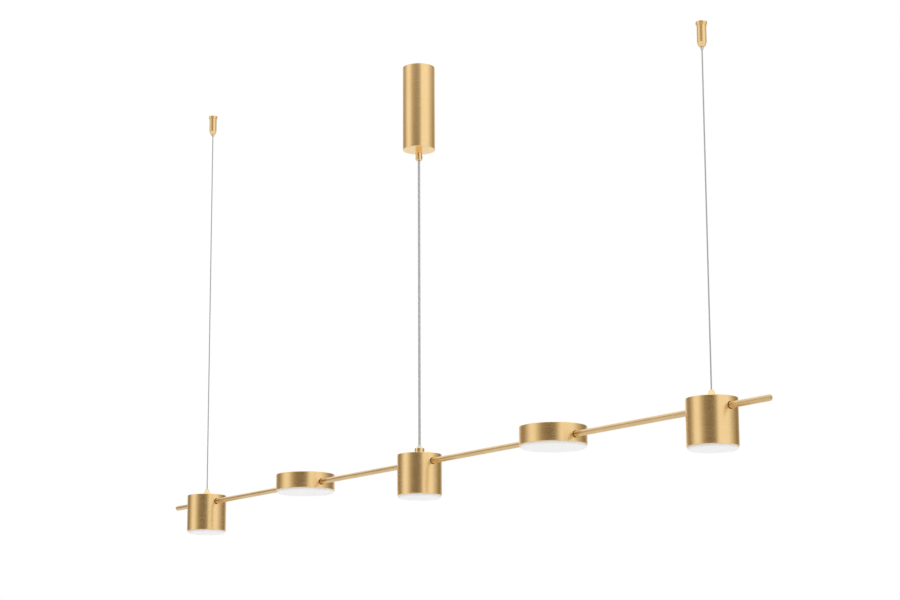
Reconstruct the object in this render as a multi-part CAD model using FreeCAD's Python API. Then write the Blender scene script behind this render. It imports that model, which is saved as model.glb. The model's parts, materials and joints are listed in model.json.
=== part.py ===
"""Linear island pendant: five brass heads on one rod, hung by two wires and a power cable.

Millimetres. The origin is the centre of the canopy's ceiling face, +Z is up and +X runs along
the rod. Every sub-part is one function, and each piece is written as its own STEP file.
"""
import FreeCAD, Part
import math
import os

VEC = FreeCAD.Vector
UP = VEC(0, 0, 1)
ALONG = VEC(1, 0, 0)

# ---- Driving dimensions -------------------------------------------------------------------

# Suspension: heights are counted from the canopy's ceiling face.
rod_drop = 660.0            # down to the rod's axis
left_grip_rise = 84.0       # the left gripper hangs from a higher spot of the ceiling
right_grip_rise = -114.0    # and the right one from a lower spot
wire_d = 2.0                # stranded steel in a clear sleeve
cable_d = 4.0

# Rod
rod_d = 9.0
rod_wall = 1.0
head_spacing = 334.0
rod_overhang = 107.0        # rod beyond the axis of each end drum
rod_cap_lip = 3.0
rod_cap_round = 2.6
rod_cap_spigot = 8.0
leads_d = 2.4               # bundle of conductors inside the rod

# Heads
drum_d = 71.5
drum_h = 66.0
drum_axis_depth = 13.5      # drum top down to the rod's axis
disc_d = 101.0
disc_h = 27.5
disc_axis_depth = 16.8
shell_wall = 1.5
shell_round = 0.8
rod_hole_gap = 0.8          # all round the rod, in each shell
diffuser_wall = 2.0
diffuser_proud = 4.0        # diffuser below the shell's rim
diffuser_round = 1.6
core_d = 26.0               # boss that the rod runs through
drum_plate_drop = 40.0      # rod axis down to the underside of the heat sink's plate
drum_plate_t = 4.0
disc_plate_drop = 9.0
disc_plate_t = 2.0
fin_count = 10
fin_t = 1.6
fin_reach = 30.0            # radius at the fins' outer edge
fin_h = 22.0
lead_hole_d = 3.0           # leads from the rod down to each board
lead_hole_inset = 0.5
grub_d = 4.0
grub_h = 4.3
grub_offset = 7.0           # along the rod, beside the lead hole
board_t = 1.6
drum_board_d = 54.0
disc_board_d = 84.0
led_w = 3.5
led_t = 0.9

# Clearances
fit_gap = 0.05              # running fit on the rod, and screws in their holes
seat_gap = 0.3              # between a moving piece and its neighbour
slip_gap = 0.15             # pieces pushed into a shell or a tube

# Wire ferrules on the end drums, cable gland on the middle drum
ferrule_base_d = 12.0
ferrule_top_d = 5.6
ferrule_h = 12.0
ferrule_foot = 3.0
ferrule_stud_d = 5.0
ferrule_stud_h = 6.0
ferrule_socket = 9.0
gland_d = 15.5
gland_h = 11.0
gland_screw_rise = 6.5      # clamp screw above the drum's top
gland_chamfer = 1.0
grommet_base_d = 7.6
grommet_tip_d = 5.0
grommet_h = 5.0
grommet_foot = 2.4          # part of the grommet that sits in the gland
grommet_foot_d = 6.4
gland_stud_d = 10.0
gland_stud_h = 5.0
clamp_screw_d = 3.0
clamp_screw_proud = 0.6
gland_screw_turn = -36.0    # degrees about the cable, 0 towards the rod's near end

# Canopy
canopy_d = 53.0
canopy_h = 141.0
canopy_wall = 1.2
canopy_floor = 1.5
bracket_t = 2.0
fixing_spacing = 36.0
fixing_hole_d = 4.4
supply_hole_d = 7.0
supply_hole_x = 11.0
supply_hole_y = -14.0
strap_y = 7.0
strap_t = 1.5
strap_w = 16.0
strap_h = 100.0
stem_d = 8.0
stem_bore = 5.0
nut_flats = 13.0
nut_h = 3.0
nipple_d = 11.0
nipple_h = 17.4
nipple_thread_h = 8.0
nipple_chamfer = 0.6
nipple_screw_turn = 20.0
cable_tail = 12.0           # cable end above the canopy's floor

# Driver and terminal block inside the canopy
driver_w = 24.0
driver_t = 12.5
driver_h = 78.0
driver_top = 14.0
driver_round = 1.5
lug_h = 6.0
lug_t = 2.0
lug_screw_d = 3.0
pan_head_d = 5.5
pan_head_h = 1.8
block_w = 16.0
block_t = 10.0
block_h = 16.0
block_x = -4.0
block_y = -14.0
block_ways = 3
block_way_d = 3.0

# Ceiling grippers
grip_h = 36.0
grip_d = 13.5
grip_tip_d = 8.4
grip_taper_h = 6.0
ceiling_cap_d = 16.0
ceiling_cap_h = 4.5
ceiling_cap_boss_d = 9.0
ceiling_cap_boss_h = 6.0
ceiling_thread_d = 5.0      # tapping bore of an M6 hanger stud
tommy_hole_d = 3.0
tommy_hole_depth = 2.5
tommy_holes = 4
tommy_turn = -36.0
chamber_h = 15.0            # spring chamber under the ceiling cap's boss
seat_h = 8.0                # cone that closes the jaws
seat_tip_d = 6.6
jaw_h = 7.0
jaw_slot = 0.6
nozzle_d = 5.0
nozzle_proud = 4.0
nozzle_round = 0.8
spring_wire_d = 0.7
spring_wire_sides = 6
spring_d = 6.0
spring_turns = 5
wire_end_depth = 13.5       # wire end below the gripper's ceiling face

# ---- Places worked out from the sizes above -------------------------------------------------

rod_z = -rod_drop
rod_r = rod_d / 2
rod_bore_r = rod_r - rod_wall
rod_end = 2 * head_spacing + rod_overhang
DRUM = {
    "d": drum_d, "h": drum_h, "top": rod_z + drum_axis_depth,
    "plate": rod_z - drum_plate_drop, "plate_t": drum_plate_t,
    "board_d": drum_board_d, "led_rings": ((16.0, 6), (25.0, 10)), "fins": True,
}
DISC = {
    "d": disc_d, "h": disc_h, "top": rod_z + disc_axis_depth,
    "plate": rod_z - disc_plate_drop, "plate_t": disc_plate_t,
    "board_d": disc_board_d, "led_rings": ((20.0, 8), (36.0, 14)), "fins": False,
}
HEADS = {
    "left_drum": (-2 * head_spacing, DRUM),
    "left_disc": (-head_spacing, DISC),
    "middle_drum": (0.0, DRUM),
    "right_disc": (head_spacing, DISC),
    "right_drum": (2 * head_spacing, DRUM),
}
GRIPS = {
    "left": (-2 * head_spacing, left_grip_rise),
    "right": (2 * head_spacing, right_grip_rise),
}
drum_top = DRUM["top"]
canopy_bore_r = canopy_d / 2 - canopy_wall


# ---- Small helpers ----------------------------------------------------------------------------

def save(name, shape):
    shape.exportStep("parts/%s.step" % name)


def post(diameter, low, high, x=0.0, y=0.0):
    """A vertical cylinder between two heights."""
    return Part.makeCylinder(diameter / 2, high - low, VEC(x, y, low), UP)


def bar(diameter, start, end, z):
    """A cylinder along the rod's direction."""
    return Part.makeCylinder(diameter / 2, end - start, VEC(start, 0, z), ALONG)


def block(x0, x1, y0, y1, z0, z1):
    return Part.makeBox(x1 - x0, y1 - y0, z1 - z0, VEC(x0, y0, z0))


def turned(profile, x=0.0):
    """A lathe form about a vertical axis, from (diameter, height) corners."""
    points = [VEC(x + diameter / 2, 0, z) for diameter, z in profile]
    face = Part.Face(Part.makePolygon(points + points[:1]))
    return face.revolve(VEC(x, 0, 0), UP, 360)


def circle_edges(shape, diameter, z):
    """The round edges of one diameter at one height."""
    found = []
    for edge in shape.Edges:
        curve = edge.Curve
        if not isinstance(curve, Part.Circle):
            continue
        if abs(curve.Radius - diameter / 2) < 1e-4 and abs(curve.Center.z - z) < 1e-4:
            found.append(edge)
    return found


def rounded(shape, radius, diameter, z):
    return shape.makeFillet(radius, circle_edges(shape, diameter, z))


def radial(diameter, inner, outer, turn, x, z):
    """A horizontal cylinder pointing away from a vertical axis."""
    way = VEC(math.cos(math.radians(turn)), math.sin(math.radians(turn)), 0)
    return Part.makeCylinder(diameter / 2, outer - inner, VEC(x, 0, z) + way * inner, way)


# ---- Heads ------------------------------------------------------------------------------------

def shell(x, size, top_hole_d):
    """Spun cup, open below, with a hole on each side for the rod."""
    low = size["top"] - size["h"]
    cup = rounded(post(size["d"], low, size["top"], x), shell_round, size["d"], size["top"])
    cup = cup.cut(post(size["d"] - 2 * shell_wall, low, size["top"] - shell_wall, x))
    cup = cup.cut(bar(rod_d + 2 * rod_hole_gap, x - size["d"], x + size["d"], rod_z))
    if top_hole_d:
        cup = cup.cut(post(top_hole_d, low, size["top"], x))
    return cup


def heat_sink(x, size, top_hole_d, top_hole_h):
    """Plate that carries the board, with a boss that runs on the rod up to the shell's top."""
    plate_top = size["plate"] + size["plate_t"]
    ceiling = size["top"] - shell_wall
    plate_d = size["d"] - 2 * shell_wall - 2 * slip_gap
    sink = post(plate_d, size["plate"], plate_top, x)
    sink = sink.fuse(post(core_d, plate_top, ceiling, x))
    if size["fins"]:
        fin = block(0, fin_reach, -fin_t / 2, fin_t / 2, plate_top, plate_top + fin_h)
        for index in range(fin_count):
            turned_fin = fin.copy()
            turned_fin.rotate(VEC(0, 0, 0), UP, (index + 0.5) * 360.0 / fin_count)
            turned_fin.translate(VEC(x, 0, 0))
            sink = sink.fuse(turned_fin)
    sink = sink.removeSplitter()
    sink = sink.cut(bar(rod_d + 2 * fit_gap, x - size["d"], x + size["d"], rod_z))
    sink = sink.cut(post(lead_hole_d, size["plate"], rod_z, x))
    sink = sink.cut(post(grub_d + 2 * fit_gap, size["plate"], rod_z, x + grub_offset))
    if top_hole_d:
        sink = sink.cut(post(top_hole_d, ceiling - top_hole_h, ceiling, x))
        sink = sink.cut(post(min(top_hole_d, cable_d + 2 * seat_gap), rod_z, ceiling, x))
    return sink


def led_board(x, size):
    """Metal-core board with rings of LEDs on its underside."""
    high = size["plate"]
    board = post(size["board_d"], high - board_t, high, x)
    for ring_r, count in size["led_rings"]:
        led = block(ring_r - led_w / 2, ring_r + led_w / 2, -led_w / 2, led_w / 2,
                    high - board_t - led_t, high - board_t)
        for index in range(count):
            placed = led.copy()
            placed.rotate(VEC(0, 0, 0), UP, (index + 0.5) * 360.0 / count)
            placed.translate(VEC(x, 0, 0))
            board = board.fuse(placed)
    board = board.cut(post(lead_hole_d + 2 * lead_hole_inset, high - board_t, high, x))
    return board.cut(post(grub_d + 2 * fit_gap, high - board_t, high, x + grub_offset))


def diffuser(x, size):
    """Opal cup that slides up to the heat sink's plate and stands proud of the rim."""
    outer_d = size["d"] - 2 * shell_wall - 2 * slip_gap
    low = size["top"] - size["h"] - diffuser_proud
    cup = rounded(post(outer_d, low, size["plate"], x), diffuser_round, outer_d, low)
    return cup.cut(post(outer_d - 2 * diffuser_wall, low + diffuser_wall, size["plate"], x))


def grub_screw(x):
    top = rod_z - rod_r - fit_gap
    screw = post(grub_d, top - grub_h, top, x + grub_offset)
    socket = Part.makePolygon([
        VEC(x + grub_offset + grub_d / 4 * math.cos(math.radians(60 * side)),
            grub_d / 4 * math.sin(math.radians(60 * side)), top - grub_h)
        for side in range(7)])
    return screw.cut(Part.Face(socket).extrude(VEC(0, 0, grub_h / 2)))


def heads():
    holes = {
        "left_drum": (ferrule_stud_d + 2 * fit_gap, ferrule_stud_h),
        "middle_drum": (gland_stud_d + 2 * fit_gap, gland_stud_h),
        "right_drum": (ferrule_stud_d + 2 * fit_gap, ferrule_stud_h),
    }
    for name, (x, size) in HEADS.items():
        hole_d, hole_h = holes.get(name, (0.0, 0.0))
        save(name + "_shell", shell(x, size, hole_d))
        save(name + "_heat_sink", heat_sink(x, size, hole_d, hole_h))
        save(name + "_led_board", led_board(x, size))
        save(name + "_diffuser", diffuser(x, size))
        save(name + "_grub_screw", grub_screw(x))


# ---- Rod ----------------------------------------------------------------------------------------

def rod_tube():
    tube = bar(rod_d, -rod_end, rod_end, rod_z)
    tube = tube.cut(bar(rod_bore_r * 2, -rod_end, rod_end, rod_z))
    for x, _ in HEADS.values():
        tube = tube.cut(post(lead_hole_d, rod_z - rod_d, rod_z, x))
    return tube.cut(post(cable_d + 2 * seat_gap, rod_z, rod_z + rod_d, 0))


def rod_cap(side):
    """Turned plug with a thin lip that closes the rod's end."""
    lip = bar(rod_d, rod_end, rod_end + rod_cap_lip, rod_z)
    edges = [edge for edge in lip.Edges
             if isinstance(edge.Curve, Part.Circle)
             and abs(edge.Curve.Center.x - rod_end - rod_cap_lip) < 1e-4]
    lip = lip.makeFillet(rod_cap_round, edges)
    spigot = bar(rod_bore_r * 2 - 2 * fit_gap, rod_end - rod_cap_spigot, rod_end, rod_z)
    cap = lip.fuse(spigot).removeSplitter()
    if side < 0:
        cap.rotate(VEC(0, 0, 0), UP, 180)
    return cap


def rod_leads():
    """Bundle of conductors that lies on the rod's inside, from one end drum to the other."""
    reach = 2 * head_spacing + lead_hole_d
    return bar(leads_d, -reach, reach, rod_z - rod_bore_r + leads_d / 2 + fit_gap)


# ---- Suspension ---------------------------------------------------------------------------------

def wire_ferrule(x):
    """Taper that is crimped on the wire and screwed through the drum's top."""
    top = drum_top + ferrule_h
    stud_low = drum_top - shell_wall - ferrule_stud_h
    body = turned([(0, stud_low), (ferrule_stud_d, stud_low), (ferrule_stud_d, drum_top),
                   (ferrule_base_d, drum_top), (ferrule_base_d, drum_top + ferrule_foot),
                   (ferrule_top_d, top), (0, top)], x)
    return body.cut(post(wire_d + 2 * fit_gap, top - ferrule_socket, top, x))


def suspension_wire(x, rise):
    low = drum_top + ferrule_h - ferrule_socket
    return post(wire_d, low, rise - wire_end_depth, x)


def cable_gland():
    """Round gland with a clamp screw, on a hollow stud that enters the middle drum."""
    top = drum_top + gland_h
    stud_low = drum_top - shell_wall - gland_stud_h
    body = turned([(0, stud_low), (gland_stud_d, stud_low), (gland_stud_d, drum_top),
                   (gland_d, drum_top), (gland_d, top - gland_chamfer),
                   (gland_d - 2 * gland_chamfer, top), (0, top)])
    body = body.cut(post(cable_d + 2 * fit_gap, stud_low, top))
    body = body.cut(post(grommet_foot_d, top - grommet_foot, top))
    hole = radial(clamp_screw_d + 2 * fit_gap, 0, gland_d, gland_screw_turn, 0, gland_screw_z())
    return body.cut(hole)


def gland_grommet():
    """Soft tapered sleeve that seals the cable where it enters the gland."""
    seat = drum_top + gland_h
    body = turned([(0, seat - grommet_foot), (grommet_foot_d, seat - grommet_foot), (grommet_foot_d, seat),
                   (grommet_base_d, seat), (grommet_tip_d, seat + grommet_h), (0, seat + grommet_h)])
    return body.cut(post(cable_d + 2 * fit_gap, seat - grommet_foot, seat + grommet_h))


def gland_screw_z():
    return drum_top + gland_screw_rise


def clamp_screw(inner, outer, turn, z):
    """Slotted clamp screw that presses on the cable from the side."""
    screw = radial(clamp_screw_d, inner, outer, turn, 0, z)
    slot = Part.makeBox(clamp_screw_d, clamp_screw_d / 5, clamp_screw_d * 2)
    slot.translate(VEC(outer - clamp_screw_d / 4, -clamp_screw_d / 10, z - clamp_screw_d))
    slot.rotate(VEC(0, 0, 0), UP, turn)
    return screw.cut(slot)


def power_cable():
    low = rod_z + rod_bore_r - cable_d / 2
    return post(cable_d, low, cable_floor_z() + canopy_floor + cable_tail)


def cable_floor_z():
    return -canopy_h


# ---- Canopy -------------------------------------------------------------------------------------

def canopy_cover():
    """Deep cup, open towards the ceiling, that hangs on the stem's nipple."""
    low = cable_floor_z()
    cup = rounded(post(canopy_d, low, 0), shell_round, canopy_d, low)
    cup = cup.cut(post(2 * canopy_bore_r, low + canopy_floor, 0))
    return cup.cut(post(stem_d + 2 * seat_gap, low, 0))


def ceiling_bracket():
    """Ceiling plate with a bent strap that carries the driver."""
    plate = post(2 * (canopy_bore_r - seat_gap), -bracket_t, 0)
    plate = plate.cut(post(stem_d + 2 * fit_gap, -bracket_t, 0))
    for side in (-1, 1):
        plate = plate.cut(post(fixing_hole_d, -bracket_t, 0, side * fixing_spacing / 2))
    plate = plate.cut(post(supply_hole_d, -bracket_t, 0, supply_hole_x, supply_hole_y))
    strap = block(-strap_w / 2, strap_w / 2, strap_y, strap_y + strap_t, -strap_h, -bracket_t)
    for z in lug_heights():
        hole = Part.makeCylinder(lug_screw_d / 2 + fit_gap, strap_t * 2,
                                 VEC(0, strap_y - strap_t / 2, z), VEC(0, 1, 0))
        strap = strap.cut(hole)
    return plate.fuse(strap).removeSplitter()


def lug_heights():
    return (-driver_top + lug_h / 2, -driver_top - driver_h - lug_h / 2)


def driver():
    """LED driver in a moulded case with a screw lug at each end."""
    back = strap_y + strap_t
    case = block(-driver_w / 2, driver_w / 2, back, back + driver_t,
                 -driver_top - driver_h, -driver_top)
    upright = [edge for edge in case.Edges
               if abs(edge.Vertexes[0].Z - edge.Vertexes[1].Z) > driver_h / 2]
    case = case.makeFillet(driver_round, upright)
    for z in lug_heights():
        lug = block(-strap_w / 2, strap_w / 2, back, back + lug_t, z - lug_h / 2, z + lug_h / 2)
        hole = Part.makeCylinder(lug_screw_d / 2 + fit_gap, lug_t, VEC(0, back, z), VEC(0, 1, 0))
        case = case.fuse(lug.cut(hole))
    return case.removeSplitter()


def driver_screws():
    """Two pan-head screws, through the driver's lugs into the strap."""
    front = strap_y + strap_t + lug_t
    screws = []
    for z in lug_heights():
        shank = Part.makeCylinder(lug_screw_d / 2, front - strap_y, VEC(0, strap_y, z), VEC(0, 1, 0))
        head = Part.makeCylinder(pan_head_d / 2, pan_head_h, VEC(0, front, z), VEC(0, 1, 0))
        screws.append(shank.fuse(head))
    return Part.makeCompound(screws)


def terminal_block():
    """Three-way screw terminal under the ceiling plate."""
    body = block(block_x - block_w / 2, block_x + block_w / 2,
                 block_y - block_t / 2, block_y + block_t / 2, -bracket_t - block_h, -bracket_t)
    pitch = block_w / block_ways
    for way in range(block_ways):
        x = block_x + (way - (block_ways - 1) / 2.0) * pitch
        body = body.cut(post(block_way_d, -bracket_t - block_h, -bracket_t - block_h / 2, x, block_y))
        screw_hole = Part.makeCylinder(block_way_d / 2, block_t / 2,
                                       VEC(x, block_y, -bracket_t - block_h / 2), VEC(0, 1, 0))
        body = body.cut(screw_hole)
    return body


def stem():
    """Threaded tube from the ceiling plate down to the nipple; the cable runs inside it."""
    return turned([(stem_bore, cable_floor_z() - nipple_thread_h), (stem_d, cable_floor_z() - nipple_thread_h),
                   (stem_d, 0), (stem_bore, 0)])


def stem_nut():
    corner = nut_flats / math.sqrt(3)
    outline = Part.makePolygon([
        VEC(corner * math.cos(math.radians(60 * side)), corner * math.sin(math.radians(60 * side)),
            -bracket_t - nut_h)
        for side in range(7)])
    nut = Part.Face(outline).extrude(VEC(0, 0, nut_h))
    return nut.cut(post(stem_d + 2 * fit_gap, -bracket_t - nut_h, -bracket_t))


def canopy_nipple():
    """Threaded end that clamps the canopy to the stem and grips the cable."""
    top = cable_floor_z()
    low = top - nipple_h
    bore_d = cable_d + 2 * seat_gap
    thread_d = stem_d + 2 * seat_gap
    shoulder = top - nipple_thread_h - seat_gap
    body = turned([(bore_d, low), (nipple_d - 2 * nipple_chamfer, low), (nipple_d, low + nipple_chamfer),
                   (nipple_d, top), (thread_d, top), (thread_d, shoulder), (bore_d, shoulder)])
    hole = radial(clamp_screw_d + 2 * fit_gap, 0, nipple_d, nipple_screw_turn, 0, nipple_screw_z())
    return body.cut(hole)


def nipple_screw_z():
    return cable_floor_z() - (nipple_thread_h + nipple_h) / 2


# ---- Ceiling grippers -----------------------------------------------------------------------------

def ceiling_cap(x, rise):
    """Cap on the hanger stud, with tommy-bar holes and a threaded boss for the body."""
    low = rise - ceiling_cap_h
    cap = turned([(0, low - ceiling_cap_boss_h), (ceiling_cap_boss_d, low - ceiling_cap_boss_h),
                  (ceiling_cap_boss_d, low), (ceiling_cap_d, low), (ceiling_cap_d, rise), (0, rise)], x)
    cap = cap.cut(post(ceiling_thread_d, low - ceiling_cap_boss_h, rise, x))
    for index in range(tommy_holes):
        turn = tommy_turn + index * 360.0 / tommy_holes
        cap = cap.cut(radial(tommy_hole_d, ceiling_cap_d / 2 - tommy_hole_depth,
                             ceiling_cap_d, turn, x, rise - ceiling_cap_h / 2))
    return cap


def boss_bottom(rise):
    return rise - ceiling_cap_h - ceiling_cap_boss_h


def seat_top(rise):
    return boss_bottom(rise) - chamber_h


def grip_body(x, rise):
    """Barrel with a spring chamber over the cone that closes the jaws on the wire."""
    top = rise - ceiling_cap_h
    low = rise - grip_h
    chamber_d = ceiling_cap_boss_d + 2 * fit_gap
    exit_d = nozzle_d + 2 * seat_gap
    return turned([(exit_d, low), (grip_tip_d, low), (grip_d, low + grip_taper_h), (grip_d, top),
                   (chamber_d, top), (chamber_d, seat_top(rise)),
                   (seat_tip_d, seat_top(rise) - seat_h), (exit_d, seat_top(rise) - seat_h)], x)


def grip_nozzle(x, rise):
    """Release nozzle with split jaws: pushed up, it lets the wire run."""
    wide_d = ceiling_cap_boss_d + 2 * fit_gap - 2 * seat_gap
    narrow_d = seat_tip_d - 2 * seat_gap
    jaw_top = seat_top(rise)
    jaw_low = jaw_top - jaw_h
    slope = (wide_d - narrow_d) / seat_h
    jaw_low_d = wide_d - slope * jaw_h
    tip = rise - grip_h - nozzle_proud
    body = turned([(0, tip), (nozzle_d, tip), (nozzle_d, jaw_low), (jaw_low_d, jaw_low),
                   (wide_d, jaw_top), (0, jaw_top)], x)
    body = rounded(body, nozzle_round, nozzle_d, tip)
    body = body.cut(post(wire_d + 2 * seat_gap, tip, jaw_top, x))
    for turn in (0, 60, 120):
        slot = block(-wide_d, wide_d, -jaw_slot / 2, jaw_slot / 2, jaw_low + jaw_h / 3, jaw_top)
        slot.rotate(VEC(0, 0, 0), UP, turn)
        slot.translate(VEC(x, 0, 0))
        body = body.cut(slot)
    return body


def grip_spring(x, rise):
    """Coil spring between the cap's boss and the jaws."""
    low = seat_top(rise) + spring_wire_d / 2
    high = boss_bottom(rise) - spring_wire_d / 2
    radius = (spring_d - spring_wire_d) / 2
    path = Part.makeHelix((high - low) / spring_turns, high - low, radius)
    corners = [math.radians(360.0 / spring_wire_sides * side) for side in range(spring_wire_sides + 1)]
    section = Part.makePolygon([
        VEC(radius + spring_wire_d / 2 * math.cos(angle), 0, spring_wire_d / 2 * math.sin(angle))
        for angle in corners])
    coil = Part.Wire(path).makePipeShell([section], True, True)
    coil.translate(VEC(x, 0, low))
    return coil


def grippers():
    for side, (x, rise) in GRIPS.items():
        save(side + "_ceiling_cap", ceiling_cap(x, rise))
        save(side + "_grip_body", grip_body(x, rise))
        save(side + "_grip_nozzle", grip_nozzle(x, rise))
        save(side + "_grip_spring", grip_spring(x, rise))
        save(side + "_wire", suspension_wire(x, rise))
        save(side + "_wire_ferrule", wire_ferrule(x))


def canopy():
    save("canopy_cover", canopy_cover())
    save("canopy_nipple", canopy_nipple())
    save("nipple_screw", clamp_screw(cable_d / 2 + seat_gap, nipple_d / 2 + clamp_screw_proud,
                                     nipple_screw_turn, nipple_screw_z()))
    save("ceiling_bracket", ceiling_bracket())
    save("canopy_stem", stem())
    save("stem_nut", stem_nut())
    save("driver", driver())
    save("driver_screws", driver_screws())
    save("terminal_block", terminal_block())


def rod():
    save("rod_tube", rod_tube())
    save("rod_leads", rod_leads())
    save("left_rod_cap", rod_cap(-1))
    save("right_rod_cap", rod_cap(1))
    save("cable_gland", cable_gland())
    save("gland_grommet", gland_grommet())
    save("gland_screw", clamp_screw(cable_d / 2 + fit_gap, gland_d / 2 + clamp_screw_proud,
                                    gland_screw_turn, gland_screw_z()))
    save("power_cable", power_cable())


os.makedirs("parts", exist_ok=True)
heads()
rod()
canopy()
grippers()
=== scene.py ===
# %% [markdown]
# # A linear island pendant in satin brass
# Five heads sit on one long rod: drum, disc, drum, disc, drum. Two wires and one power cable
# hold it. The frame loaded here is the measured construction, so every piece modelled below
# takes its size and place from it, and rides on one of its bodies.

# %% Load the frame
import json
import math

import bmesh
import bpy
from mathutils import Matrix, Vector


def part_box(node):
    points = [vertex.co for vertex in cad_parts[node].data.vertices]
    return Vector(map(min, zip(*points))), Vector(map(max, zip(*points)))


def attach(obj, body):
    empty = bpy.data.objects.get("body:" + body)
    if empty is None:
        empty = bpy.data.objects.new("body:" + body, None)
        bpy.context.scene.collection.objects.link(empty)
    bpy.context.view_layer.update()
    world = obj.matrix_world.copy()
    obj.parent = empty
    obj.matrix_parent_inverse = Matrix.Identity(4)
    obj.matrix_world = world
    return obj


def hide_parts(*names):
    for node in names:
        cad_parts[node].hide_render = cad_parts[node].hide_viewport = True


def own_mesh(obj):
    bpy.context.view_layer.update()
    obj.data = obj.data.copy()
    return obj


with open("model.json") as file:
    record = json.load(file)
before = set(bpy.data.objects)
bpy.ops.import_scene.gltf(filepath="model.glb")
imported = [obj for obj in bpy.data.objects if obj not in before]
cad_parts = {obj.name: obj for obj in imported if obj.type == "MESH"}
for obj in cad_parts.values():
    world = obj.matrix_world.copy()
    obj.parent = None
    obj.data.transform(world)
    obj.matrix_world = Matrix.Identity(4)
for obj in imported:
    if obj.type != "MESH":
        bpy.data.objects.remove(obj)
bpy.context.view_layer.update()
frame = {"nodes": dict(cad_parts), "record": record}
nodes = frame["nodes"]

# %% [markdown]
# ## The camera
# The photograph looks up at the lamp from below its near end. The eye stands 3.3 m from the
# middle of the rod. The picture is shifted a little, as with a view camera, so that the wires
# stay nearly upright.

# %% Place the camera
EYE = Vector((2.663, -1.947, -1.1087))
HEADING = math.radians(52.97)       # from straight ahead towards the lamp's far end
TILT = math.radians(10.31)
ROLL = math.radians(-0.27)
SENSOR_WIDTH = 36.0                 # mm
LENS = 83.1                         # mm
SHIFT_UP = 0.0778                   # as a part of the picture's width

camera_data = bpy.data.cameras.new("photo_camera")
camera_data.sensor_width = SENSOR_WIDTH
camera_data.lens = LENS
camera_data.shift_y = SHIFT_UP
camera = bpy.data.objects.new("photo_camera", camera_data)
bpy.context.scene.collection.objects.link(camera)
look = Matrix.Rotation(HEADING, 4, "Z") @ Matrix.Rotation(math.radians(90) + TILT, 4, "X")
camera.matrix_world = Matrix.Translation(EYE) @ look @ Matrix.Rotation(ROLL, 4, "Z")
bpy.context.scene.camera = camera
print("the camera looks along", tuple(round(v, 3) for v in look.to_3x3() @ Vector((0, 0, -1))))

# %% [markdown]
# ## Small tools
# Node trees read better when one line adds a node and joins its inputs. Values go straight on
# the sockets, and anything that comes out of another node is linked.

# %% Helpers for node trees
def add_node(tree, kind, inputs=None, **settings):
    """Adds a node; inputs maps a socket's name or number to a value or to another socket."""
    node = tree.nodes.new(kind)
    for name, value in settings.items():
        setattr(node, name, value)
    for key, value in (inputs or {}).items():
        if isinstance(value, bpy.types.NodeSocket):
            tree.links.new(value, node.inputs[key])
        else:
            node.inputs[key].default_value = value
    return node


def math_node(tree, operation, *values):
    """Adds a Math node and returns its result."""
    return add_node(tree, "ShaderNodeMath", dict(enumerate(values)), operation=operation).outputs[0]


def grey(value):
    """An opaque grey of this brightness."""
    return (value, value, value, 1.0)


# %% [markdown]
# ## The light
# Brushed metal shows what stands around it. Each head in the photograph has a dark band a little
# left of its middle, a bright band on either side and darker edges. That is a studio with one
# large soft light to the left, one beside the camera on the right, and a warm dark gap between.
# The studio is painted on the world by compass direction, because soft steps of light without
# any noise are what satin brass needs. The sky above and the floor below are plain and bright.

# %% Paint the studio on the world
EYE_COMPASS = math.atan2(EYE.y, EYE.x)
STUDIO = (                                  # degrees from the eye, brightness, warmth
    (-180, 1.50, 0.1),
    (-150, 0.45, 0.6),
    (-126, 0.12, 0.8),
    (-100, 0.55, 0.3),
    (-76, 1.42, 0.0),
    (-50, 0.26, 0.8),
    (-24, 0.09, 1.0),
    (2, 0.09, 1.0),
    (18, 0.62, 0.3),
    (34, 3.10, 0.0),
    (58, 1.15, 0.0),
    (84, 0.62, 0.2),
    (112, 0.26, 0.7),
    (138, 0.09, 0.9),
    (180, 1.50, 0.1),
)
WARM_GAP = Vector((1.30, 0.92, 0.42))
DAYLIGHT = Vector((1.0, 1.0, 1.0))
CEILING_LIGHT = 1.2
FLOOR_LIGHT = (1.1, 1.07, 1.02, 1.0)

world = bpy.data.worlds.new("studio")
bpy.context.scene.world = world
world.use_nodes = True
sky = world.node_tree
sky.nodes.clear()
direction = add_node(sky, "ShaderNodeTexCoord").outputs["Generated"]
split = add_node(sky, "ShaderNodeSeparateXYZ", {0: direction})
compass = math_node(sky, "ARCTAN2", split.outputs["Y"], split.outputs["X"])
from_eye = math_node(sky, "SUBTRACT", compass, EYE_COMPASS)
wrapped = math_node(sky, "WRAP", from_eye, math.pi, -math.pi)
around = math_node(sky, "MULTIPLY_ADD", wrapped, 0.5 / math.pi, 0.5)
ring = add_node(sky, "ShaderNodeValToRGB", {0: around})
ring.color_ramp.interpolation = "B_SPLINE"
while len(ring.color_ramp.elements) < len(STUDIO):
    ring.color_ramp.elements.new(0.5)
for stop, (degrees, brightness, warmth) in zip(ring.color_ramp.elements, STUDIO):
    stop.position = (degrees + 180) / 360
    stop.color = (*(DAYLIGHT.lerp(WARM_GAP, warmth) * brightness), 1.0)

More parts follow.
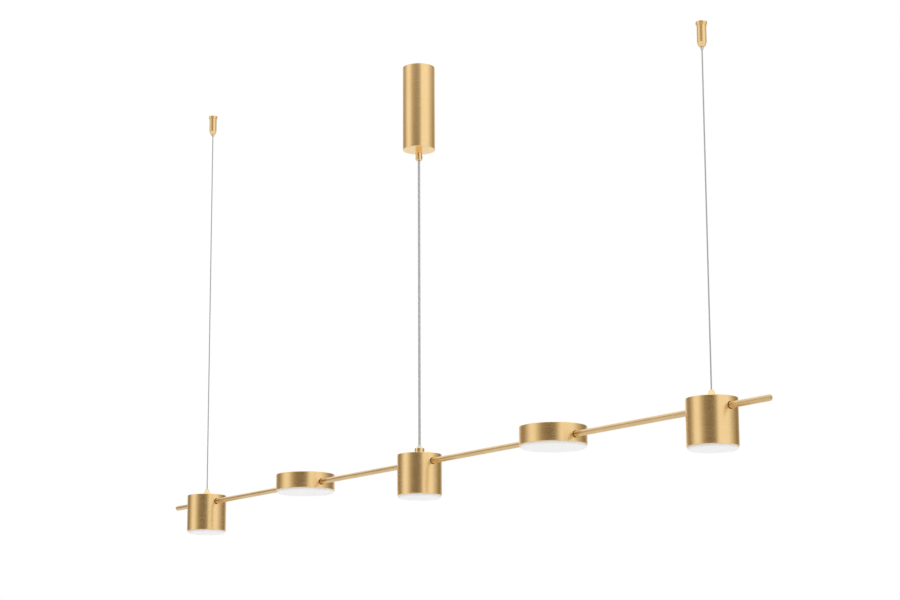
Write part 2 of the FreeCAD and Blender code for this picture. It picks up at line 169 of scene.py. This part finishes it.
HORIZON_LOW, HORIZON_HIGH = -0.12, -0.45        # the studio ring ends between these heights
CEILING_LOW, CEILING_HIGH = 0.22, 0.60
over_floor = add_node(sky, "ShaderNodeMapRange", {
    "Value": split.outputs["Z"], "From Min": HORIZON_HIGH, "From Max": HORIZON_LOW,
}, interpolation_type="SMOOTHSTEP")
under_ceiling = add_node(sky, "ShaderNodeMapRange", {
    "Value": split.outputs["Z"], "From Min": CEILING_LOW, "From Max": CEILING_HIGH,
}, interpolation_type="SMOOTHSTEP")
with_floor = add_node(sky, "ShaderNodeMixRGB", {
    0: over_floor.outputs[0], 1: FLOOR_LIGHT, 2: ring.outputs[0]})
with_ceiling = add_node(sky, "ShaderNodeMixRGB", {
    0: under_ceiling.outputs[0], 1: with_floor.outputs[0], 2: grey(CEILING_LIGHT)})
seen = add_node(sky, "ShaderNodeLightPath").outputs["Is Camera Ray"]
backdrop = add_node(sky, "ShaderNodeMixRGB", {0: seen, 1: with_ceiling.outputs[0], 2: grey(1.0)})
background = add_node(sky, "ShaderNodeBackground", {0: backdrop.outputs[0]})
add_node(sky, "ShaderNodeOutputWorld", {0: background.outputs[0]})
bpy.context.scene.view_settings.view_transform = "Standard"
print(len(STUDIO), "steps of light round the studio")

# %% [markdown]
# A pale floor lies well below the lamp. The photograph doesn't show it, but it lights the white
# diffusers from below. It lies so deep that an eye 60 degrees under the lamp is still above it.
# From straight below, the eye would be under the floor and see nothing else.

# %% Lay the floor
FLOOR_HEIGHT = -6.0
FLOOR_WIDTH = 240.0
FLOOR_TONE = 0.86
FLOOR_ROUGHNESS = 0.6
floor_paint = bpy.data.materials.new("pale_floor")
floor_paint.use_nodes = True
floor_shader = floor_paint.node_tree.nodes["Principled BSDF"]
floor_shader.inputs["Base Color"].default_value = grey(FLOOR_TONE)
floor_shader.inputs["Roughness"].default_value = FLOOR_ROUGHNESS
bpy.ops.object.select_all(action="DESELECT")
bpy.ops.mesh.primitive_plane_add(size=FLOOR_WIDTH, location=(0, 0, FLOOR_HEIGHT))
floor = bpy.context.object
floor.name = "floor"
floor.data.materials.append(floor_paint)
print("the floor lies at", FLOOR_HEIGHT, "m")

# %% [markdown]
# ## Satin brass
# The shells, the canopy and the small turned parts are brushed while they spin, so the marks
# run round them. The rod is drawn and brushed along its length, and its brass is painted darker
# than the shells' as painted shade. Both are the same shader with one node group, `brush_marks`,
# which stretches a fine noise along the brushing direction and puts out a roughness and a normal.
# Metal needs little more: its colour is its reflection.

# %% Start a node group
def new_group(name, inputs, outputs):
    """A shader node group; inputs are (name, kind, value), outputs are (name, kind)."""
    group = bpy.data.node_groups.new(name, "ShaderNodeTree")
    for label, kind, value in inputs:
        socket = group.interface.new_socket(label, in_out="INPUT", socket_type="NodeSocket" + kind)
        socket.default_value = value
    for label, kind in outputs:
        group.interface.new_socket(label, in_out="OUTPUT", socket_type="NodeSocket" + kind)
    given = group.nodes.new("NodeGroupInput").outputs
    made = group.nodes.new("NodeGroupOutput").inputs
    return group, given, made


def place_group(material, group, **values):
    """Puts a group in a material and sets its inputs by name."""
    node = add_node(material.node_tree, "ShaderNodeGroup", node_tree=group)
    for name, value in values.items():
        node.inputs[name].default_value = value
    return node.outputs


def new_finish(name, **values):
    """A material whose Principled shader has these plain values; returns it and its sockets."""
    material = bpy.data.materials.new(name)
    material.use_nodes = True
    sockets = material.node_tree.nodes["Principled BSDF"].inputs
    for label, value in values.items():
        sockets[label.replace("_", " ")].default_value = value
    return material, sockets


def join_finish(material, made, sockets):
    """Links what a group makes to the shader's own sockets."""
    for label, target in (("Color", "Base Color"), ("Roughness", "Roughness"), ("Normal", "Normal")):
        if label in made:
            material.node_tree.links.new(made[label], sockets[target])


# %% The brush-mark group
brush_marks, given, made = new_group(
    "brush_marks",
    [("Stretch", "Vector", (100.0, 100.0, 2000.0)),
     ("Light", "Color", (0.9, 0.9, 0.9, 1.0)),
     ("Dark", "Color", (0.8, 0.8, 0.8, 1.0)),
     ("Smoothest", "Float", 0.16),
     ("Roughest", "Float", 0.28),
     ("Depth", "Float", 0.1)],
    [("Color", "Color"), ("Roughness", "Float"), ("Normal", "Vector")])
place = add_node(brush_marks, "ShaderNodeTexCoord").outputs["Object"]
stretched = add_node(brush_marks, "ShaderNodeVectorMath",
                     {0: place, 1: given["Stretch"]}, operation="MULTIPLY")
marks = add_node(brush_marks, "ShaderNodeTexNoise",
                 {"Vector": stretched.outputs[0], "Scale": 1.0, "Detail": 3.0, "Roughness": 0.6})
clouds = add_node(brush_marks, "ShaderNodeTexNoise",
                  {"Vector": place, "Scale": 24.0, "Detail": 2.0})
tone = math_node(brush_marks, "MULTIPLY_ADD", marks.outputs[0], 0.25, clouds.outputs[0])
tone_steps = add_node(brush_marks, "ShaderNodeMapRange", {
    "Value": tone, "From Min": 0.4, "From Max": 0.85}, interpolation_type="SMOOTHSTEP")
colour = add_node(brush_marks, "ShaderNodeMixRGB", {
    0: tone_steps.outputs[0], 1: given["Dark"], 2: given["Light"]})
spread = add_node(brush_marks, "ShaderNodeMapRange", {
    "Value": marks.outputs[0], "From Min": 0.3, "From Max": 0.7,
    "To Min": given["Smoothest"], "To Max": given["Roughest"]})
relief = add_node(brush_marks, "ShaderNodeBump", {
    "Strength": given["Depth"], "Distance": 0.0002, "Height": marks.outputs[0]})
brush_marks.links.new(colour.outputs[0], made["Color"])
brush_marks.links.new(spread.outputs[0], made["Roughness"])
brush_marks.links.new(relief.outputs[0], made["Normal"])


# %% Make a metal
def metal(name, light, dark, stretch, smoothest, roughest, depth):
    """A brushed metal; light and dark are the two ends of its colour."""
    material, sockets = new_finish(name, Metallic=1.0)
    brushed = place_group(material, brush_marks, Stretch=stretch, Light=(*light, 1.0),
                          Dark=(*dark, 1.0), Smoothest=smoothest, Roughest=roughest, Depth=depth)
    join_finish(material, brushed, sockets)
    return material


BRASS_LIGHT = (0.90, 0.65, 0.33)
BRASS_DARK = (0.87, 0.62, 0.30)
# Painted shade: the rod's brass is a darker copy of the shells' brass.
DRAWN_SHADED_LIGHT = (0.70, 0.51, 0.27)
DRAWN_SHADED_DARK = (0.64, 0.46, 0.24)
ROUND_THE_AXIS = (40.0, 40.0, 1500.0)
ALONG_THE_ROD = (40.0, 1500.0, 1500.0)
EVERY_WAY = (500.0, 500.0, 500.0)
turned_brass = metal("turned_brass", BRASS_LIGHT, BRASS_DARK, ROUND_THE_AXIS, 0.22, 0.28, 0.04)
drawn_shaded_brass = metal("drawn_shaded_brass", DRAWN_SHADED_LIGHT, DRAWN_SHADED_DARK, ALONG_THE_ROD, 0.22, 0.30, 0.03)
nickel = metal("nickel_plate", (0.80, 0.75, 0.70), (0.72, 0.67, 0.62),
               ROUND_THE_AXIS, 0.12, 0.24, 0.05)
zinc = metal("zinc_plate", (0.68, 0.69, 0.70), (0.50, 0.51, 0.53), EVERY_WAY, 0.28, 0.45, 0.08)
aluminium = metal("milled_aluminium", (0.84, 0.85, 0.86), (0.74, 0.75, 0.76),
                  ALONG_THE_ROD, 0.25, 0.42, 0.1)
print("metals:", ", ".join(m.name for m in (turned_brass, drawn_shaded_brass, nickel, zinc, aluminium)))

# %% [markdown]
# ## Moulded plastics
# Opal acrylic, the driver's case and the lead insulation are all moulded. Moulded plastic has a
# very fine skin and a slight unevenness of tone. One group, `moulded_skin`, gives both, and each
# plastic sets its own grain. The opal one also has a faint painted glow: emission that stands in
# for light that falls on the whole cup and comes out through its face.

# %% The moulded-skin group
moulded_skin, given, made = new_group(
    "moulded_skin",
    [("Color", "Color", (0.9, 0.9, 0.9, 1.0)),
     ("Shade", "Float", 0.95),
     ("Grain", "Float", 900.0),
     ("Smoothest", "Float", 0.3),
     ("Roughest", "Float", 0.4),
     ("Depth", "Float", 0.05)],
    [("Color", "Color"), ("Roughness", "Float"), ("Normal", "Vector")])
place = add_node(moulded_skin, "ShaderNodeTexCoord").outputs["Object"]
grain = add_node(moulded_skin, "ShaderNodeTexNoise",
                 {"Vector": place, "Scale": given["Grain"], "Detail": 2.0})
flow = add_node(moulded_skin, "ShaderNodeTexNoise", {"Vector": place, "Scale": 35.0, "Detail": 3.0})
shade = add_node(moulded_skin, "ShaderNodeMapRange", {
    "Value": flow.outputs[0], "From Min": 0.35, "From Max": 0.65,
    "To Min": given["Shade"], "To Max": 1.0})
shaded = add_node(moulded_skin, "ShaderNodeVectorMath",
                  {0: given["Color"], 1: shade.outputs[0]}, operation="MULTIPLY")
skin = add_node(moulded_skin, "ShaderNodeMapRange", {
    "Value": flow.outputs[0], "From Min": 0.35, "From Max": 0.65,
    "To Min": given["Smoothest"], "To Max": given["Roughest"]})
peel = add_node(moulded_skin, "ShaderNodeBump", {
    "Strength": given["Depth"], "Distance": 0.0002, "Height": grain.outputs[0]})
moulded_skin.links.new(shaded.outputs[0], made["Color"])
moulded_skin.links.new(skin.outputs[0], made["Roughness"])
moulded_skin.links.new(peel.outputs[0], made["Normal"])


# %% Make a plastic
def plastic(name, colour, shade, grain_size, smoothest, roughest, depth, **plain):
    """A moulded plastic; shade is how dark its darkest patches are."""
    material, sockets = new_finish(name, **plain)
    moulded = place_group(material, moulded_skin, Color=(*colour, 1.0), Shade=shade,
                          Grain=grain_size, Smoothest=smoothest, Roughest=roughest, Depth=depth)
    join_finish(material, moulded, sockets)
    return material


# Painted glow: emission that stands in for room light passing through the opal cup.
OPAL_PAINTED_GLOW = 0.02
opal = plastic("opal_acrylic", (0.89, 0.89, 0.895), 0.985, 1400.0, 0.32, 0.40, 0.02,
               Emission_Color=(1.0, 0.995, 0.985, 1.0), Emission_Strength=OPAL_PAINTED_GLOW)
case_plastic = plastic("case_plastic", (0.84, 0.84, 0.82), 0.94, 2200.0, 0.42, 0.52, 0.25)
silicone = plastic("silicone_leads", (0.82, 0.81, 0.78), 0.92, 900.0, 0.45, 0.60, 0.10)
soft_sleeve = plastic("soft_sleeve", (0.80, 0.75, 0.71), 0.95, 1200.0, 0.30, 0.42, 0.05)
print("plastics:", ", ".join(m.name for m in (opal, case_plastic, silicone, soft_sleeve)))

# %% [markdown]
# ## Wire, cable and boards
# A suspension wire is steel strands twisted together inside a clear sleeve, and the cable has
# twisted tinned conductors inside a clear sheath. Through the plastic both show as fine slanting
# stripes. The `twist` group draws them: the angle round the axis plus the height, both in the
# piece's own coordinates. The end wires stand beside the middle, so their axis is moved first.

# %% The twist group
twist, given, made = new_group(
    "twist",
    [("Axis", "Float", 0.0), ("Strands", "Float", 2.0), ("Pitch", "Float", 0.02),
     ("Strand", "Color", (0.6, 0.6, 0.6, 1.0)), ("Gap", "Color", (0.3, 0.3, 0.3, 1.0))],
    [("Color", "Color"), ("Roughness", "Float")])
place = add_node(twist, "ShaderNodeTexCoord").outputs["Object"]
split = add_node(twist, "ShaderNodeSeparateXYZ", {0: place}).outputs
side = math_node(twist, "SIGN", split["X"])
axis_here = math_node(twist, "MULTIPLY", side, given["Axis"])
from_axis = math_node(twist, "SUBTRACT", split["X"], axis_here)
angle = math_node(twist, "ARCTAN2", split["Y"], from_axis)
turns_up = math_node(twist, "DIVIDE", split["Z"], given["Pitch"])
climb = math_node(twist, "MULTIPLY", turns_up, 2 * math.pi)
phase = math_node(twist, "MULTIPLY_ADD", angle, given["Strands"], climb)
wave = math_node(twist, "MULTIPLY_ADD", math_node(twist, "SINE", phase), 0.5, 0.5)
stripe = add_node(twist, "ShaderNodeMixRGB", {0: wave, 1: given["Gap"], 2: given["Strand"]})
gloss = add_node(twist, "ShaderNodeMapRange", {"Value": wave, "To Min": 0.22, "To Max": 0.34})
twist.links.new(stripe.outputs[0], made["Color"])
twist.links.new(gloss.outputs[0], made["Roughness"])


# %% Make the wire and the cable
def twisted(name, axis, strands, pitch, strand, gap, **plain):
    """Twisted metal seen through clear plastic; axis is how far it stands from the middle."""
    material, sockets = new_finish(name, **plain)
    turns = place_group(material, twist, Axis=axis, Strands=strands, Pitch=pitch,
                        Strand=(*strand, 1.0), Gap=(*gap, 1.0))
    join_finish(material, turns, sockets)
    return material


left_wire_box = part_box("left_wire")
WIRE_AXIS = -(left_wire_box[0].x + left_wire_box[1].x) / 2
steel_wire = twisted("sleeved_wire", WIRE_AXIS, 6.0, 0.014, (0.54, 0.54, 0.55), (0.36, 0.36, 0.37),
                     Metallic=0.35, Coat_Weight=0.6)
clear_cable = twisted("clear_cable", 0.0, 2.0, 0.010, (0.50, 0.53, 0.54), (0.45, 0.47, 0.48),
                      Metallic=0.2, Coat_Weight=0.8)
print("the end wires stand", round(WIRE_AXIS, 3), "m from the middle")

# %% [markdown]
# A light board is white with small yellow chips. The board is one solid in the frame, so the
# chips are told apart by their height: the lowest 0.3 mm of the piece is chips. The drums' and
# the discs' boards sit at two heights.

# %% Make the light boards
CHIP_DEPTH = 0.0003
BOARD_SHADE = (0.86, 0.86, 0.83, 1.0)
BOARD_WHITE = (0.93, 0.93, 0.90, 1.0)
CHIP_YELLOW = (0.88, 0.66, 0.12, 1.0)


def board_finish(name, node):
    """White board with yellow chips on its lowest faces."""
    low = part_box(node)[0].z
    material, sockets = new_finish(name, Roughness=0.38)
    tree = material.node_tree
    place = add_node(tree, "ShaderNodeTexCoord").outputs["Object"]
    height = add_node(tree, "ShaderNodeSeparateXYZ", {0: place}).outputs["Z"]
    chip = math_node(tree, "LESS_THAN", height, low + CHIP_DEPTH)
    speckle = add_node(tree, "ShaderNodeTexNoise", {"Scale": 600.0, "Vector": place}).outputs[0]
    board = add_node(tree, "ShaderNodeMixRGB", {0: speckle, 1: BOARD_SHADE, 2: BOARD_WHITE})
    face = add_node(tree, "ShaderNodeMixRGB", {0: chip, 1: board.outputs[0], 2: CHIP_YELLOW})
    tree.links.new(face.outputs[0], sockets["Base Color"])
    return material


drum_board = board_finish("drum_light_board", "middle_drum_led_board")
disc_board = board_finish("disc_light_board", "left_disc_led_board")
print("boards:", drum_board.name, disc_board.name)

# %% [markdown]
# ## Dress the frame
# Small turned parts, screws and everything inside the canopy are right as the frame has them.
# They keep their meshes and get these finishes by their material slot in the record.

# %% Give each frame node its finish
FINISHES = {
    "satin_brass": turned_brass, "opal": opal, "bare_aluminium": aluminium,
    "board_white": drum_board, "steel": zinc, "nickel": nickel, "wire_steel": steel_wire,
    "clear_cable": clear_cable, "clear_sleeve": soft_sleeve, "lead_sheath": silicone,
    "case_white": case_plastic,
}
slot_of = {entry["node"]: entry["material_slot"] for entry in frame["record"]["subparts"]}
body_of = {node: body for body, members in frame["record"]["behaviour"]["bodies"].items()
           for node in members}
for node, slot in slot_of.items():
    materials = nodes[node].data.materials
    materials.clear()
    materials.append(disc_board if node.endswith("disc_led_board") else FINISHES[slot])
print(len(slot_of), "frame nodes dressed")

# %% [markdown]
# ## Modelling by hand, in code
# The shells, the diffusers, the canopy and the rod fill the picture, so they are modelled here
# with finer curves and soft edges. These helpers do what a hand would do in edit mode: pick
# faces or edges by where they are, then inset, extrude or bevel them.

# %% Helpers for modelling
TINY = 0.00003                      # how near counts as the same place
SIDES = 192
DRILL_SIDES = 72
SHARP_FROM = math.radians(32)       # edges that turn more than this stay sharp


def settle():
    """Puts the selected piece's place, turn and size into its mesh."""
    bpy.ops.object.transform_apply(location=True, rotation=True, scale=True)


def blank(name, radius, low, high, sides=SIDES):
    """A solid cylinder on the Z axis between two heights."""
    bpy.ops.object.select_all(action="DESELECT")
    bpy.ops.mesh.primitive_cylinder_add(
        vertices=sides, radius=radius, depth=high - low, location=(0, 0, (low + high) / 2))
    piece = bpy.context.object
    piece.name = name
    settle()
    return piece


def pick(kind, test):
    """In edit mode, selects only the faces or edges that pass the test."""
    bpy.context.tool_settings.mesh_select_mode = (False, kind == "edges", kind == "faces")
    bpy.ops.mesh.select_all(action="DESELECT")
    mesh = bmesh.from_edit_mesh(bpy.context.edit_object.data)
    found = [element for element in getattr(mesh, kind) if test(element)]
    for element in found:
        element.select_set(True)
    mesh.select_flush_mode()
    bmesh.update_edit_mesh(bpy.context.edit_object.data)


def circle(radius, height):
    """A test for the edges of one level circle about the Z axis."""
    def on_circle(edge):
        return all(abs(v.co.z - height) < TINY and abs(math.hypot(v.co.x, v.co.y) - radius) < TINY
                   for v in edge.verts)
    return on_circle


def soften(radius, height, width, segments):
    """Rounds the edge that one level circle makes."""
    pick("edges", circle(radius, height))
    bpy.ops.mesh.bevel(offset=width, segments=segments, affect="EDGES")


def bore(piece, radius, start, end):
    """Drills a round hole with a boolean, then throws the drill away."""
    way = Vector(end) - Vector(start)
    bpy.ops.object.select_all(action="DESELECT")
    bpy.ops.mesh.primitive_cylinder_add(
        vertices=DRILL_SIDES, radius=radius, depth=way.length,
        location=(Vector(start) + Vector(end)) / 2, rotation=way.to_track_quat("Z", "Y").to_euler())
    drill = bpy.context.object
    cut = piece.modifiers.new("bore", "BOOLEAN")
    cut.operation = "DIFFERENCE"
    cut.solver = "EXACT"
    cut.object = drill
    bpy.context.view_layer.objects.active = piece
    bpy.ops.object.modifier_apply(modifier="bore")
    bpy.data.objects.remove(drill)


def copy_to(piece, name, x):
    """A copy with its own mesh, moved along the rod and fixed there."""
    twin = piece.copy()
    twin.data = piece.data.copy()
    twin.name = name
    bpy.context.scene.collection.objects.link(twin)
    bpy.ops.object.select_all(action="DESELECT")
    twin.select_set(True)
    bpy.context.view_layer.objects.active = twin
    twin.location.x = x
    settle()
    return twin


def fit(piece, node, material):
    """Smooths a finished piece, gives it its finish and puts it in its node's place."""
    bpy.ops.object.select_all(action="DESELECT")
    piece.select_set(True)
    bpy.context.view_layer.objects.active = piece
    bpy.ops.object.shade_smooth_by_angle(angle=SHARP_FROM)
    even = piece.modifiers.new("even", "WEIGHTED_NORMAL")
    even.keep_sharp = True
    bpy.ops.object.modifier_apply(modifier="even")
    piece.data.materials.clear()
    piece.data.materials.append(material)
    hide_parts(node)
    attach(piece, body_of[node])
    print(piece.name, len(piece.data.polygons), "faces")


# %% [markdown]
# ## Cups
# A shell is a spun cup with its mouth down, the canopy is one with its mouth up, and a diffuser
# is a moulded cup. All three start as a cylinder. The face at the mouth is inset by the wall and
# pushed in as deep as the floor allows, and then the edges are softened. A solidify modifier on
# an open tube could do it too, but this way the floor and the wall can differ in thickness.


# %% Model a cup
CLOSED_STEPS = 6                    # faces across the rounding of the closed end
MOUTH_STEPS = 3
FINE_ROUND = 0.0003                 # a mouth that is only broken, not rounded


def cup(name, radius, low, high, wall, floor, mouth, closed_round, mouth_round):
    """A round cup; mouth is -1 when it opens downwards and 1 when it opens upwards."""
    piece = blank(name, radius, low, high)
    bpy.ops.object.mode_set(mode="EDIT")
    pick("faces", lambda face: face.normal.z * mouth > 0.9)
    bpy.ops.mesh.inset(thickness=wall)
    bpy.ops.mesh.extrude_region_move(
        TRANSFORM_OT_translate={"value": (0, 0, -mouth * (high - low - floor))})
    rim, back = (low, high) if mouth < 0 else (high, low)
    soften(radius, back, closed_round, CLOSED_STEPS)
    soften(radius, rim, mouth_round, MOUTH_STEPS)
    soften(radius - wall, rim, mouth_round, MOUTH_STEPS)
    bpy.ops.object.mode_set(mode="OBJECT")
    return piece


def size_of(node):
    """Radius, lowest and highest point and centre along the rod of a node's box."""
    low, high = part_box(node)
    return (high.y - low.y) / 2, low.z, high.z, (low.x + high.x) / 2


# %% [markdown]
# ## The five shells
# Two patterns serve for all five: a drum and a flat disc. Each has a round hole on either side
# for the rod, with a narrow dark gap all round it. The drums also have a hole in the top for
# the wire's ferrule or the cable gland. The rim is rounded more than the frame has it, because
# that thin lip catches the light above the white diffuser.

# %% Spin the shells
SHELL_WALL = 0.0015
TOP_ROUND = 0.0008
RIM_ROUND = 0.0006
ROD_HOLE = 0.0053
rod_low, rod_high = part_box("rod_tube")
ROD_HEIGHT = (rod_low.z + rod_high.z) / 2
TOP_HOLES = {"left_drum": 0.00255, "middle_drum": 0.00505, "right_drum": 0.00255}
DRUMS = ("left_drum", "middle_drum", "right_drum")
DISCS = ("left_disc", "right_disc")
DRILL_ACROSS = 0.1                  # the rod's drill reaches this far on either side
DRILL_DOWN = 0.01                   # and a drill through a flat face this far

for heads in (DRUMS, DISCS):
    radius, low, high, _ = size_of(heads[0] + "_shell")
    pattern = cup("shell_pattern", radius, low, high, SHELL_WALL, SHELL_WALL, -1,
                  TOP_ROUND, RIM_ROUND)
    bore(pattern, ROD_HOLE, (-DRILL_ACROSS, 0, ROD_HEIGHT), (DRILL_ACROSS, 0, ROD_HEIGHT))
    for head in heads:
        centre = size_of(head + "_shell")[3]
        if head in TOP_HOLES:
            drilled = copy_to(pattern, "drilled", 0.0)
            bore(drilled, TOP_HOLES[head], (0, 0, high - DRILL_DOWN), (0, 0, high + DRILL_DOWN))
            shell = copy_to(drilled, "spun_" + head + "_shell", centre)
            bpy.data.objects.remove(drilled)
        else:
            shell = copy_to(pattern, "spun_" + head + "_shell", centre)
        fit(shell, head + "_shell", turned_brass)
    bpy.data.objects.remove(pattern)

# %% [markdown]
# ## The five diffusers
# Each diffuser is an opal cup that stands 4 mm out of its shell. Its face is not quite flat: a
# moulded face this wide is crowned by about a millimetre so that it never looks hollow. Six
# insets on the face, each lowered a little less than the one before, make the crown, and the
# corner has a soft radius.

# %% Mould the diffusers
DIFFUSER_WALL = 0.002
DIFFUSER_ROUND = 0.0016
CROWN_RINGS = 6
CROWN_DROP = 0.0009                 # how far the middle of the face comes down
CROWN_SHARE = 0.85                  # part of the radius that is curved

for heads in (DRUMS, DISCS):
    radius, low, high, _ = size_of(heads[0] + "_diffuser")
    pattern = cup("diffuser_pattern", radius, low, high, DIFFUSER_WALL, DIFFUSER_WALL, 1,
                  DIFFUSER_ROUND, FINE_ROUND)
    bpy.ops.object.mode_set(mode="EDIT")
    pick("faces", lambda face: face.normal.z < -0.99 and len(face.verts) > 4
         and abs(face.calc_center_median().z - low) < TINY)
    for ring in range(CROWN_RINGS):
        share = 1 - (ring + 0.5) / CROWN_RINGS
        bpy.ops.mesh.inset(thickness=radius * CROWN_SHARE / CROWN_RINGS)
        bpy.ops.transform.translate(value=(0, 0, -CROWN_DROP * 2 * share / CROWN_RINGS))
    bpy.ops.object.mode_set(mode="OBJECT")
    for head in heads:
        centre = size_of(head + "_diffuser")[3]
        fit(copy_to(pattern, "opal_" + head + "_diffuser", centre), head + "_diffuser", opal)
    bpy.data.objects.remove(pattern)

# %% [markdown]
# ## The canopy
# The canopy is the deepest cup: a drawn tube with its mouth against the ceiling and a hole in
# its floor, where the nipple screws on the stem and clamps it.

# %% Draw the canopy
CANOPY_WALL = 0.0012
CANOPY_FLOOR = 0.0015
STEM_HOLE = 0.0043
radius, low, high, _ = size_of("canopy_cover")
canopy = cup("drawn_canopy_cover", radius, low, high, CANOPY_WALL, CANOPY_FLOOR, 1,
             TOP_ROUND, FINE_ROUND)
bore(canopy, STEM_HOLE, (0, 0, low - DRILL_DOWN), (0, 0, low + DRILL_DOWN))
fit(canopy, "canopy_cover", turned_brass)

# %% [markdown]
# ## The rod
# The rod is a thin drawn tube. A cylinder is laid along X, both ends are inset by the wall, and
# bridging the two inner faces opens it from end to end. Small holes in its underside let the
# leads down into each head, and one on top lets the cable in. Each end has a domed plug.

# %% Draw the rod
ROD_WALL = 0.001
LEAD_HOLE = 0.0015
CABLE_HOLE = 0.0023
SIDEWAYS = (0, math.radians(90), 0)
ROD_SIDES = 96
ROD_DRILL = 0.009                   # from the rod's axis to past its wall


def lay_bar(name, radius, start, end, sides):
    """A solid cylinder along the rod's axis."""
    bpy.ops.object.select_all(action="DESELECT")
    bpy.ops.mesh.primitive_cylinder_add(
        vertices=sides, radius=radius, depth=end - start,
        location=((start + end) / 2, 0, ROD_HEIGHT), rotation=SIDEWAYS)
    bpy.context.object.name = name
    settle()
    return bpy.context.object


rod_radius = (rod_high.z - rod_low.z) / 2
rod = lay_bar("drawn_rod_tube", rod_radius, rod_low.x, rod_high.x, ROD_SIDES)
bpy.ops.object.mode_set(mode="EDIT")
pick("faces", lambda face: abs(face.normal.x) > 0.9)
bpy.ops.mesh.inset(thickness=ROD_WALL, use_individual=True)
bpy.ops.mesh.bridge_edge_loops()
bpy.ops.object.mode_set(mode="OBJECT")
for head in ("left_drum", "left_disc", "middle_drum", "right_disc", "right_drum"):
    centre = size_of(head + "_shell")[3]
    bore(rod, LEAD_HOLE, (centre, 0, ROD_HEIGHT - ROD_DRILL), (centre, 0, ROD_HEIGHT))
bore(rod, CABLE_HOLE, (0, 0, ROD_HEIGHT), (0, 0, ROD_HEIGHT + ROD_DRILL))
fit(rod, "rod_tube", drawn_shaded_brass)

# %% Turn the rod's end plugs
PLUG_ROUND = 0.0026
PLUG_STEPS = 8
SPIGOT = 0.008
SPIGOT_GAP = 0.00005                # between the spigot and the tube's bore
for side, node in ((-1, "left_rod_cap"), (1, "right_rod_cap")):
    plug_low, plug_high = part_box(node)
    tip = plug_low.x if side < 0 else plug_high.x
    seat = rod_low.x if side < 0 else rod_high.x
    plug = lay_bar("domed_" + node, rod_radius, min(tip, seat), max(tip, seat), ROD_SIDES)
    bpy.ops.object.mode_set(mode="EDIT")
    pick("faces", lambda face: face.normal.x * side < -0.9)
    bpy.ops.mesh.inset(thickness=ROD_WALL + SPIGOT_GAP)
    bpy.ops.mesh.extrude_region_move(TRANSFORM_OT_translate={"value": (-side * SPIGOT, 0, 0)})
    pick("edges", lambda edge: all(abs(v.co.x - tip) < TINY for v in edge.verts))
    bpy.ops.mesh.bevel(offset=PLUG_ROUND, segments=PLUG_STEPS, affect="EDGES")
    bpy.ops.object.mode_set(mode="OBJECT")
    fit(plug, node, drawn_shaded_brass)

# %% [markdown]
# ## Inside the canopy and the grippers
# The canopy slides down for service and shows the threaded stem. The stem starts as a tube. Its
# outer edges are subdivided into rings, and a ring is drawn in where it lies nearest to an odd
# half turn of the thread. Subdivide makes 100 cuts at most, which is fewer than this stem has
# half turns, so the ridges come out coarser than a real thread and unevenly spaced.

# %% Cut the stem's thread
STEM_BORE = 0.0025
THREAD_PITCH = 0.00125
THREAD_ROOT = 0.93                  # root diameter as a part of the outer one
STEM_SIDES = 40
MOST_CUTS = 100                     # subdivide goes no higher
radius, low, high, _ = size_of("canopy_stem")
stem = blank("threaded_canopy_stem", radius, low, high, STEM_SIDES)
half_turns = 2 * int((high - low) / THREAD_PITCH)
bpy.ops.object.mode_set(mode="EDIT")
pick("faces", lambda face: abs(face.normal.z) > 0.9)
bpy.ops.mesh.inset(thickness=radius - STEM_BORE, use_individual=True)
bpy.ops.mesh.bridge_edge_loops()
pick("edges", lambda edge: abs(edge.verts[0].co.z - edge.verts[1].co.z) > TINY
     and edge.verts[0].co.xy.length > radius - TINY)
bpy.ops.mesh.subdivide(number_cuts=min(half_turns - 1, MOST_CUTS))
step = (high - low) / half_turns
pick("edges", lambda edge: abs(edge.verts[0].co.z - edge.verts[1].co.z) < TINY
     and edge.verts[0].co.xy.length > radius * 0.99 and edge.verts[1].co.xy.length > radius * 0.99
     and round((edge.verts[0].co.z - low) / step) % 2 == 1)
bpy.ops.transform.resize(value=(THREAD_ROOT, THREAD_ROOT, 1), center_override=(0, 0, 0))
bpy.ops.object.mode_set(mode="OBJECT")
fit(stem, "canopy_stem", zinc)

# %% [markdown]
# A gripper's spring sits between the ceiling cap and the jaws. When the nozzle is pushed up the
# spring gets shorter. Here it rides on the nozzle and is not squashed. A screw modifier winds it
# from a small circle.

# %% Wind the springs
SPRING_WIRE = 0.00035               # radius of the spring's wire
SPRING_TURNS = 5
WIRE_SIDES = 12
TURN_STEPS = 36

for side in ("left", "right"):
    node = side + "_grip_spring"
    box_low, box_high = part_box(node)
    coil_radius = (box_high.y - box_low.y) / 2 - SPRING_WIRE
    length = box_high.z - box_low.z
    bpy.ops.object.select_all(action="DESELECT")
    bpy.ops.mesh.primitive_circle_add(
        vertices=WIRE_SIDES, radius=SPRING_WIRE, rotation=(math.radians(90), 0, 0))
    spring = bpy.context.object
    spring.name = "wound_" + node
    settle()
    bpy.ops.object.mode_set(mode="EDIT")
    bpy.ops.mesh.select_all(action="SELECT")
    bpy.ops.transform.translate(value=(coil_radius, 0, 0))
    bpy.ops.object.mode_set(mode="OBJECT")
    coil = spring.modifiers.new("coil", "SCREW")
    coil.screw_offset = (length - 2 * SPRING_WIRE) / SPRING_TURNS
    coil.iterations = SPRING_TURNS
    coil.steps = TURN_STEPS
    coil.render_steps = TURN_STEPS
    bpy.ops.object.modifier_apply(modifier="coil")
    bpy.ops.object.mode_set(mode="EDIT")
    bpy.ops.mesh.select_all(action="SELECT")
    bpy.ops.mesh.fill_holes(sides=WIRE_SIDES)
    bpy.ops.mesh.select_all(action="SELECT")
    bpy.ops.mesh.normals_make_consistent(inside=False)
    bpy.ops.object.mode_set(mode="OBJECT")
    centre = (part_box(side + "_grip_body")[0].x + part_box(side + "_grip_body")[1].x) / 2
    spring.location = (centre, 0, box_low.z + SPRING_WIRE)
    settle()
    fit(spring, node, zinc)
    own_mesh(spring)
